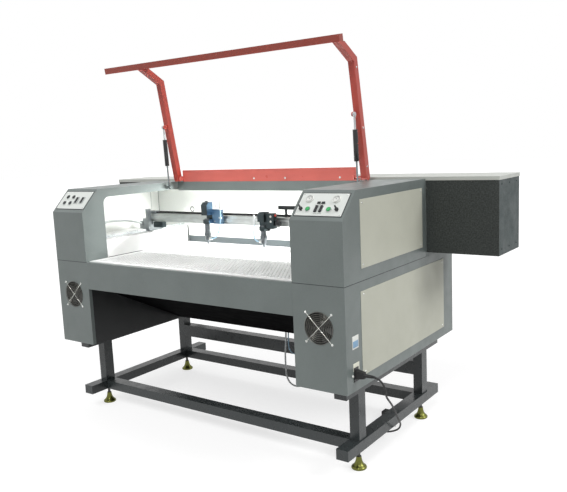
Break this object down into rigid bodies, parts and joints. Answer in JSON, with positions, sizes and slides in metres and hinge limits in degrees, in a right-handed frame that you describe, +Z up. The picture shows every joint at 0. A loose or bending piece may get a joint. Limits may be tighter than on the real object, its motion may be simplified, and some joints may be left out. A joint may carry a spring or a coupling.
{
  "type": "flatbed gantry laser cutter",
  "caption": "Flatbed gantry laser cutter with twin heads over a honeycomb bed, raised lid frame on gas struts, side control towers, rear tube housing and a welded stand on levelling feet.",
  "frame": {"origin": "on the floor, under the middle of the machine's box without its mains lead", "axes": "+X to the operator's right along the tube housing, +Y from the operator to the back, +Z up"},
  "size_m": [2.11, 0.9334, 1.6027],
  "materials": {
    "cabinet_paint": "textured grey powder coat",
    "stand_paint": "dark grey powder coat",
    "panel_paint": "satin cream",
    "chamber_paint": "satin white",
    "lid_paint": "satin orange red",
    "foot_brass": "yellow passivated",
    "bed_alloy": "honeycomb, satin",
    "duct_steel": "galvanised",
    "rail_steel": "ground",
    "beam_alloy": "black anodised",
    "carriage_alloy": "dark anodised",
    "drive_black": "satin black",
    "belt_rubber": "matte",
    "left_head_blue": "blue anodised",
    "right_head_dark": "black anodised",
    "lens_alloy": "dark anodised, knurled ring",
    "tube_glass": "clear",
    "supply_paint": "grey",
    "fan_plastic": "black",
    "guard_wire": "bright plated wire",
    "panel_plate": "brushed, pale",
    "button_black": "black",
    "button_green": "translucent green",
    "rocker_black": "black",
    "knob_black": "black",
    "meter_white": "white dial",
    "inlet_black": "black",
    "lead_rubber": "black cable jacket",
    "strut_black": "gloss black",
    "strut_rod": "hard chrome"
  },
  "bodies": {
    "cabinet": {"stand_frame": "stand_paint", "left_lower_cabinet": "cabinet_paint", "right_lower_cabinet": "cabinet_paint", "left_upper_housing": "cabinet_paint", "right_upper_housing": "cabinet_paint", "front_apron": "cabinet_paint", "tube_housing": "chamber_paint", "left_extension_box": "cabinet_paint", "right_extension_box": "cabinet_paint", "housing_cover": "cabinet_paint", "side_panels": "panel_paint", "hopper": "cabinet_paint", "honeycomb_bed": "bed_alloy", "exhaust_stub": "duct_steel", "rail_supports": "chamber_paint", "gantry_rails": "rail_steel", "laser_tubes": "tube_glass", "power_supplies": "supply_paint", "fan_frames": "fan_plastic", "fan_guards": "guard_wire", "left_panel_plate": "panel_plate", "right_panel_plate": "panel_plate", "panel_meters": "meter_white", "power_inlet": "inlet_black", "cord_connector": "inlet_black", "hinge_rail": "lid_paint", "mains_cord": "lead_rubber", "mains_coil": "lead_rubber", "mains_plug": "inlet_black"},
    "gantry": {"gantry_beam": "beam_alloy", "gantry_carriages": "carriage_alloy", "belt_drive": "drive_black", "drive_belt": "belt_rubber"},
    "lid": {"lid_frame": "lid_paint"},
    "left_strut_rod": {"left_strut_rod": "strut_rod"},
    "left_strut_barrel": {"left_strut_barrel": "strut_black"},
    "left_head": {"left_head": "left_head_blue"},
    "left_lens_tube": {"left_lens_tube": "lens_alloy"},
    "left_fan_rotor": {"left_fan_rotor": "fan_plastic"},
    "right_strut_rod": {"right_strut_rod": "strut_rod"},
    "right_strut_barrel": {"right_strut_barrel": "strut_black"},
    "right_head": {"right_head": "right_head_dark"},
    "right_lens_tube": {"right_lens_tube": "lens_alloy"},
    "right_fan_rotor": {"right_fan_rotor": "fan_plastic"},
    "front_left_foot": {"front_left_foot": "foot_brass"},
    "front_right_foot": {"front_right_foot": "foot_brass"},
    "rear_left_foot": {"rear_left_foot": "foot_brass"},
    "rear_right_foot": {"rear_right_foot": "foot_brass"},
    "left_button_1": {"left_button_1": "button_black"},
    "left_button_2": {"left_button_2": "button_black"},
    "left_button_3": {"left_button_3": "button_black"},
    "left_button_4": {"left_button_4": "button_black"},
    "left_rocker_1": {"left_rocker_1": "rocker_black"},
    "left_rocker_2": {"left_rocker_2": "rocker_black"},
    "right_knob_1": {"right_knob_1": "knob_black"},
    "right_knob_2": {"right_knob_2": "knob_black"},
    "right_button_1": {"right_button_1": "button_green"},
    "right_button_2": {"right_button_2": "button_green"},
    "right_rocker_1": {"right_rocker_1": "rocker_black"},
    "right_rocker_2": {"right_rocker_2": "rocker_black"}
  },
  "joints": [
    {"name": "lid_hinge", "type": "hinge", "parent": "cabinet", "child": "lid", "pos_m": [0, 0.12265, 1.052], "axis": [1, 0, 0], "range_deg": [0, 74]},
    {"name": "gantry_travel", "type": "slide", "parent": "cabinet", "child": "gantry", "axis": [0, 1, 0], "range_m": [-0.26, 0.135]},
    {"name": "left_strut_pivot", "type": "hinge", "parent": "cabinet", "child": "left_strut_rod", "pos_m": [-0.532, 0.05765, 1.014], "axis": [1, 0, 0], "range_deg": [0, 78.16]},
    {"name": "left_strut_stroke", "type": "slide", "parent": "left_strut_rod", "child": "left_strut_barrel", "axis": [0, -0.0417, 0.9991], "range_m": [-0.08918, 0]},
    {"name": "left_head_travel", "type": "slide", "parent": "gantry", "child": "left_head", "axis": [1, 0, 0], "range_m": [-0.26, 0.26]},
    {"name": "left_lens_focus", "type": "slide", "parent": "left_head", "child": "left_lens_tube", "axis": [0, 0, 1], "range_m": [-0.012, 0.012]},
    {"name": "left_fan_spin", "type": "hinge", "parent": "cabinet", "child": "left_fan_rotor", "pos_m": [-0.6545, -0.46235, 0.572], "axis": [0, 1, 0], "continuous": true},
    {"name": "right_strut_pivot", "type": "hinge", "parent": "cabinet", "child": "right_strut_rod", "pos_m": [0.526, 0.05765, 1.014], "axis": [1, 0, 0], "range_deg": [0, 78.16]},
    {"name": "right_strut_stroke", "type": "slide", "parent": "right_strut_rod", "child": "right_strut_barrel", "axis": [0, -0.0417, 0.9991], "range_m": [-0.08918, 0]},
    {"name": "right_head_travel", "type": "slide", "parent": "gantry", "child": "right_head", "axis": [1, 0, 0], "range_m": [-0.26, 0.26]},
    {"name": "right_lens_focus", "type": "slide", "parent": "right_head", "child": "right_lens_tube", "axis": [0, 0, 1], "range_m": [-0.012, 0.012]},
    {"name": "right_fan_spin", "type": "hinge", "parent": "cabinet", "child": "right_fan_rotor", "pos_m": [0.6515, -0.46235, 0.572], "axis": [0, 1, 0], "continuous": true},
    {"name": "front_left_foot_turn", "type": "hinge", "parent": "cabinet", "child": "front_left_foot", "pos_m": [-0.691, -0.28435, 0], "axis": [0, 0, 1], "continuous": true},
    {"name": "front_right_foot_turn", "type": "hinge", "parent": "cabinet", "child": "front_right_foot", "pos_m": [0.691, -0.28435, 0], "axis": [0, 0, 1], "continuous": true},
    {"name": "rear_left_foot_turn", "type": "hinge", "parent": "cabinet", "child": "rear_left_foot", "pos_m": [-0.691, 0.26265, 0], "axis": [0, 0, 1], "continuous": true},
    {"name": "rear_right_foot_turn", "type": "hinge", "parent": "cabinet", "child": "rear_right_foot", "pos_m": [0.691, 0.26265, 0], "axis": [0, 0, 1], "continuous": true},
    {"name": "left_button_1_press", "type": "slide", "parent": "cabinet", "child": "left_button_1", "axis": [0, 0.7145, -0.6996], "range_m": [0, 0.003], "stiffness_N_per_m": 500},
    {"name": "left_button_2_press", "type": "slide", "parent": "cabinet", "child": "left_button_2", "axis": [0, 0.7145, -0.6996], "range_m": [0, 0.003], "stiffness_N_per_m": 500},
    {"name": "left_button_3_press", "type": "slide", "parent": "cabinet", "child": "left_button_3", "axis": [0, 0.7145, -0.6996], "range_m": [0, 0.003], "stiffness_N_per_m": 500},
    {"name": "left_button_4_press", "type": "slide", "parent": "cabinet", "child": "left_button_4", "axis": [0, 0.7145, -0.6996], "range_m": [0, 0.003], "stiffness_N_per_m": 500},
    {"name": "left_rocker_1_rock", "type": "hinge", "parent": "cabinet", "child": "left_rocker_1", "pos_m": [-0.63776, -0.41578, 0.98956], "axis": [1, 0, 0], "range_deg": [-8, 8]},
    {"name": "left_rocker_2_rock", "type": "hinge", "parent": "cabinet", "child": "left_rocker_2", "pos_m": [-0.60056, -0.41578, 0.98956], "axis": [1, 0, 0], "range_deg": [-8, 8]},
    {"name": "right_knob_1_turn", "type": "hinge", "parent": "cabinet", "child": "right_knob_1", "pos_m": [0.57524, -0.42868, 0.97639], "axis": [0, -0.7145, 0.6996], "range_deg": [-60, 60]},
    {"name": "right_knob_2_turn", "type": "hinge", "parent": "cabinet", "child": "right_knob_2", "pos_m": [0.71846, -0.42868, 0.97639], "axis": [0, -0.7145, 0.6996], "range_deg": [-60, 60]},
    {"name": "right_button_1_press", "type": "slide", "parent": "cabinet", "child": "right_button_1", "axis": [0, 0.7145, -0.6996], "range_m": [0, 0.003], "stiffness_N_per_m": 500},
    {"name": "right_button_2_press", "type": "slide", "parent": "cabinet", "child": "right_button_2", "axis": [0, 0.7145, -0.6996], "range_m": [0, 0.003], "stiffness_N_per_m": 500},
    {"name": "right_rocker_1_rock", "type": "hinge", "parent": "cabinet", "child": "right_rocker_1", "pos_m": [0.63848, -0.42936, 0.9757], "axis": [1, 0, 0], "range_deg": [-8, 8]},
    {"name": "right_rocker_2_rock", "type": "hinge", "parent": "cabinet", "child": "right_rocker_2", "pos_m": [0.65801, -0.42936, 0.9757], "axis": [1, 0, 0], "range_deg": [-8, 8]}
  ],
  "couplings": [
    {"joint": "left_strut_pivot", "follows": "lid_hinge", "ratio": 1.0549},
    {"joint": "left_strut_stroke", "follows": "lid_hinge", "m_per_rad": -0.068897},
    {"joint": "right_strut_pivot", "follows": "lid_hinge", "ratio": 1.0549},
    {"joint": "right_strut_stroke", "follows": "lid_hinge", "m_per_rad": -0.068897},
    {"joint": "right_head_travel", "follows": "left_head_travel", "ratio": 1}
  ]
}
